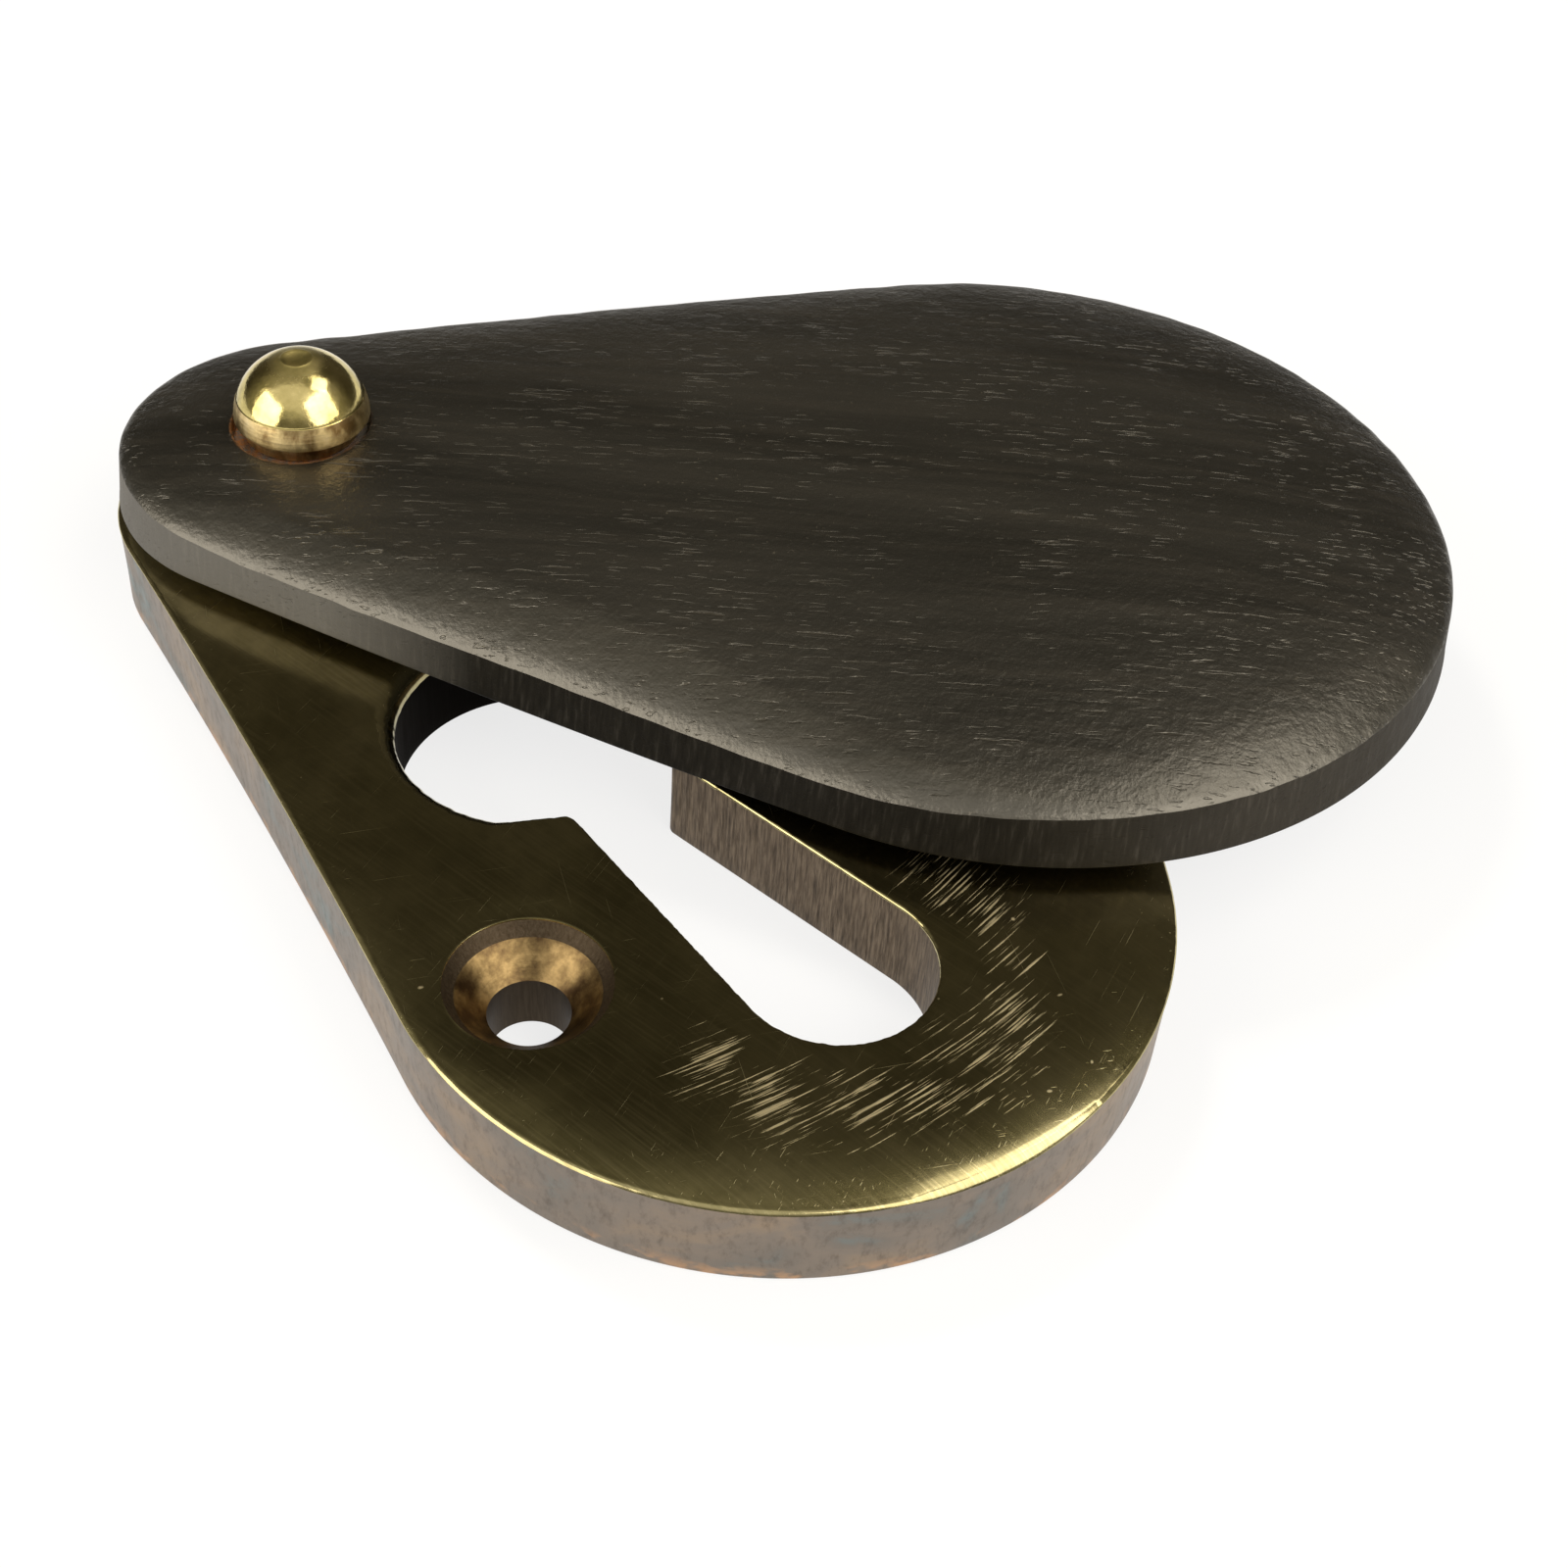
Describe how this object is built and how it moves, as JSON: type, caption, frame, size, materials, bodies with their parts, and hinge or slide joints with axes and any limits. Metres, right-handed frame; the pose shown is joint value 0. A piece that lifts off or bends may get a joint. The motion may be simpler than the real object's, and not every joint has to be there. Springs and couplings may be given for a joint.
{
  "type": "covered keyhole escutcheon",
  "caption": "Teardrop brass keyhole plate with countersunk screw holes and a domed dark-wood cover that swings on a dome-headed brass rivet.",
  "frame": {"origin": "midway between the two screw holes, on the plate's flat back face", "axes": "+Z along the screw holes, out of the door; +Y up along the plate, from the wide end to the rivet; +X to the right seen from the front"},
  "size_m": [0.0534, 0.0527, 0.0111],
  "materials": {
    "aged_brass": "aged, polished face, satin grey-brown edge",
    "spacer_brass": "satin",
    "ebony": "satin, oiled",
    "polished_brass": "polished"
  },
  "bodies": {
    "plate": {"base_plate": "aged_brass", "spacer_washer": "spacer_brass", "pivot_rivet": "polished_brass"},
    "cover": {"swing_cover": "ebony"}
  },
  "joints": [
    {"name": "cover_swing", "type": "hinge", "parent": "plate", "child": "cover", "pos_m": [0, 0.028, 0.0046], "axis": [0, 0, 1], "continuous": true}
  ]
}
